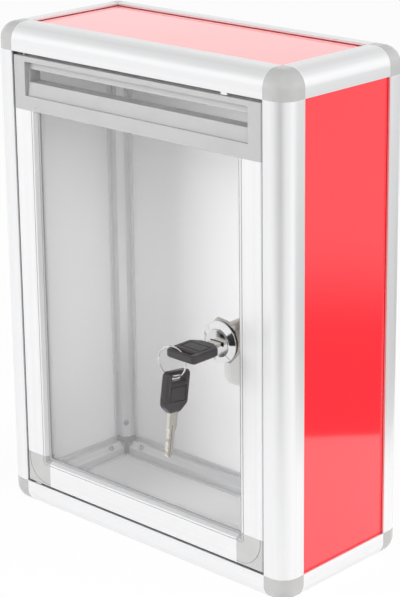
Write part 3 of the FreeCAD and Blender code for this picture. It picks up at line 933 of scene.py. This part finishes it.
@dataclass(frozen=True)
class Camera:
    """The photo's camera, by its place, its direction from the box, its roll and its lens."""

    eye: tuple[float, float, float] = (0.7118, -0.7905, 0.2365)
    azimuth: float = 43.12
    elevation: float = 16.32
    roll: float = -0.56
    lens_mm: float = 120.42
    sensor_mm: float = 36.0
    shift: tuple[float, float] = (-0.0263, -0.1400)

    def build(self) -> None:
        """Makes the camera and has the scene use it."""
        back, right = heading(self.azimuth, self.elevation), heading(self.azimuth + 90.0)
        turn = Matrix((right, back.cross(right), back)).transposed()
        turn = turn @ Matrix.Rotation(math.radians(self.roll), 3, "Z")
        data = bpy.data.cameras.new("camera")
        data.lens, data.sensor_width, data.sensor_fit = self.lens_mm, self.sensor_mm, "AUTO"
        data.shift_x, data.shift_y = self.shift
        made = bpy.data.objects.new("camera", data)
        place = Matrix.Translation(Vector(self.eye))
        bpy.context.scene.camera = placed(made, place @ turn.to_4x4())


@dataclass(frozen=True)
class Floor:
    """Pale table top under the box, square to the camera, its right edge near the box.

    In reflections it glows more behind the box and to its right, as a lit backdrop does: the pool
    gives the bounds and the levels of that glow by the sum of x and y.
    """

    azimuth: float
    drop: float = 0.2 * MM
    side: Bounds = (-2.4, 0.28)
    depth: Bounds = (-0.42, 9.0)
    paper: Colour = (0.94, 0.94, 0.94)
    roughness: float = 0.9
    pool: Ramp = (0.0, 0.25, 1.04, 1.15)
    glow: float = 0.93

    def build(self) -> None:
        """Lays the table top."""
        low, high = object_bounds()
        middle, turn = (low + high) / 2, math.radians(self.azimuth)
        side, depth = np.meshgrid(self.side, self.depth, indexing="ij")
        x = middle.x + side * math.cos(turn) - depth * math.sin(turn)
        y = middle.y + side * math.sin(turn) + depth * math.cos(turn)
        points = np.stack([x, y, np.full_like(x, low.z - self.drop)], axis=-1)
        made = grid_piece("floor", points[None])
        made.data.materials.append(self.material())
        made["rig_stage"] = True

    def material(self) -> bpy.types.Material:
        """Returns paper that glows to the eye and in reflections."""
        made = bpy.data.materials.new("floor_paper")
        made.use_nodes = True
        sheet = Sheet(made.node_tree)
        shader = made.node_tree.nodes["Principled BSDF"]
        shader.inputs["Roughness"].default_value = self.roughness
        shader.inputs["Base Color"].default_value = solid(self.paper)
        path = sheet.add("ShaderNodeLightPath").outputs
        x, y, _ = sheet.split(sheet.place())
        pool = sheet.ramp(sheet.maths("ADD", x, y), *self.pool)
        strength = sheet.ramp(path["Is Camera Ray"], 0.0, 1.0, pool, 1.0)
        light = sheet.add("ShaderNodeEmission", Color=solid(WHITE), Strength=strength)
        seen = sheet.maths("MAXIMUM", path["Is Camera Ray"], path["Is Glossy Ray"])
        sheet.show("OUTPUT_MATERIAL", sheet.maths("MULTIPLY", seen, self.glow), shader, light)
        return made


@dataclass(frozen=True)
class Tent:
    """Soft light from all round that is white to the eye.

    A height is the z of a direction, and a bearing the cosine of its angle to the way given. The
    tent is bright above the table, and dimmer behind the box, below the table and overhead. Glossy
    surfaces also see a dark card in front of the box and a bright patch low to its right. Bounds
    say where one level fades into the next, and a ramp gives the two levels as well.
    """

    azimuth: float
    fill: float = 0.50
    tent: float = 1.13
    backdrop: float = 1.08
    backdrop_side: Bounds = (-0.6, -0.1)
    backdrop_top: Bounds = (0.25, 0.5)
    horizon: Bounds = (-0.06, 0.03)
    table_edge: Bounds = (-0.34, -0.29)
    table: float = 0.72
    under: Ramp = (0.15, 0.5, 0.20, 1.0)
    overhead: Ramp = (0.3, 0.75, 1.0, 0.6)
    card_azimuth: float = 20.0
    card: Ramp = (0.91, 0.94, 1.0, 0.05)
    patch_angles: tuple[float, float] = (108.0, -14.0)
    patch: Ramp = (0.82, 0.97, 0.0, 0.38)

    def build(self) -> None:
        """Makes the world."""
        world = bpy.data.worlds.new("studio")
        world.use_nodes = True
        bpy.context.scene.world = world
        sheet = Sheet(world.node_tree)
        soft = world.node_tree.nodes["Background"]
        soft.inputs["Color"].default_value = solid(WHITE)
        way = sheet.add("ShaderNodeTexCoord").outputs["Generated"]
        path = sheet.add("ShaderNodeLightPath").outputs
        share = sheet.ramp(path["Is Diffuse Ray"], 0.0, 1.0, self.mirrored(sheet, way), self.fill)
        strength = sheet.maths("MULTIPLY", self.level(sheet, way), share)
        sheet.feed(soft.inputs["Strength"], strength)
        white = sheet.add("ShaderNodeBackground", Color=solid(WHITE), Strength=1.0)
        sheet.show("OUTPUT_WORLD", path["Is Camera Ray"], soft, white)

    def level(self, sheet: Sheet, way: bpy.types.NodeSocket) -> bpy.types.NodeSocket:
        """Returns the tent's brightness in a direction."""
        height = sheet.split(way)[2]
        toward = self.bearing(sheet, way, self.azimuth)
        ground = sheet.ramp(height, *self.table_edge, sheet.ramp(toward, *self.under), self.table)
        behind = sheet.ramp(toward, *self.backdrop_side, self.backdrop - self.tent, 0.0)
        low = sheet.ramp(height, *self.backdrop_top, 1.0, 0.0)
        bright = sheet.varied(self.tent, (behind, low))
        level = sheet.ramp(height, *self.horizon, ground, bright)
        return sheet.maths("MULTIPLY", level, sheet.ramp(height, *self.overhead))

    def mirrored(self, sheet: Sheet, way: bpy.types.NodeSocket) -> bpy.types.NodeSocket:
        """Returns the share of the tent that glossy surfaces see in a direction."""
        card = sheet.ramp(self.bearing(sheet, way, self.card_azimuth), *self.card)
        patch = sheet.ramp(self.bearing(sheet, way, *self.patch_angles), *self.patch)
        return sheet.maths("ADD", card, patch)

    @staticmethod
    def bearing(sheet: Sheet, way: bpy.types.NodeSocket, *angles: float) -> bpy.types.NodeSocket:
        """Returns the cosine between a direction and the heading of the angles."""
        node = sheet.add("ShaderNodeVectorMath", way, heading(*angles), operation="DOT_PRODUCT")
        return node.outputs["Value"]


CAMERA = Camera()
STUDIO = (
    CAMERA,
    Floor(CAMERA.azimuth),
    Tent(CAMERA.azimuth),
    SoftBox("left_box", -28.0, 18.0, 1.6, (0.9, 0.9), 17.5),
    SoftBox("front_box", 48.0, 26.0, 1.6, (1.0, 1.0), 9.5),
    SoftBox("right_box", 116.0, 24.0, 1.5, (1.2, 1.1), 16.0),
)


def main() -> None:
    """Builds the studio and each sub-assembly."""
    logging.basicConfig(level=logging.INFO, format="%(message)s")
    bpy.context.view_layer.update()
    bpy.context.scene.view_settings.view_transform = "Standard"
    for part in (*STUDIO, Case(), Door(), Lock(), Keys()):
        part.build()
        LOG.info("%s done", type(part).__name__)


if __name__ == "__main__":
    main()
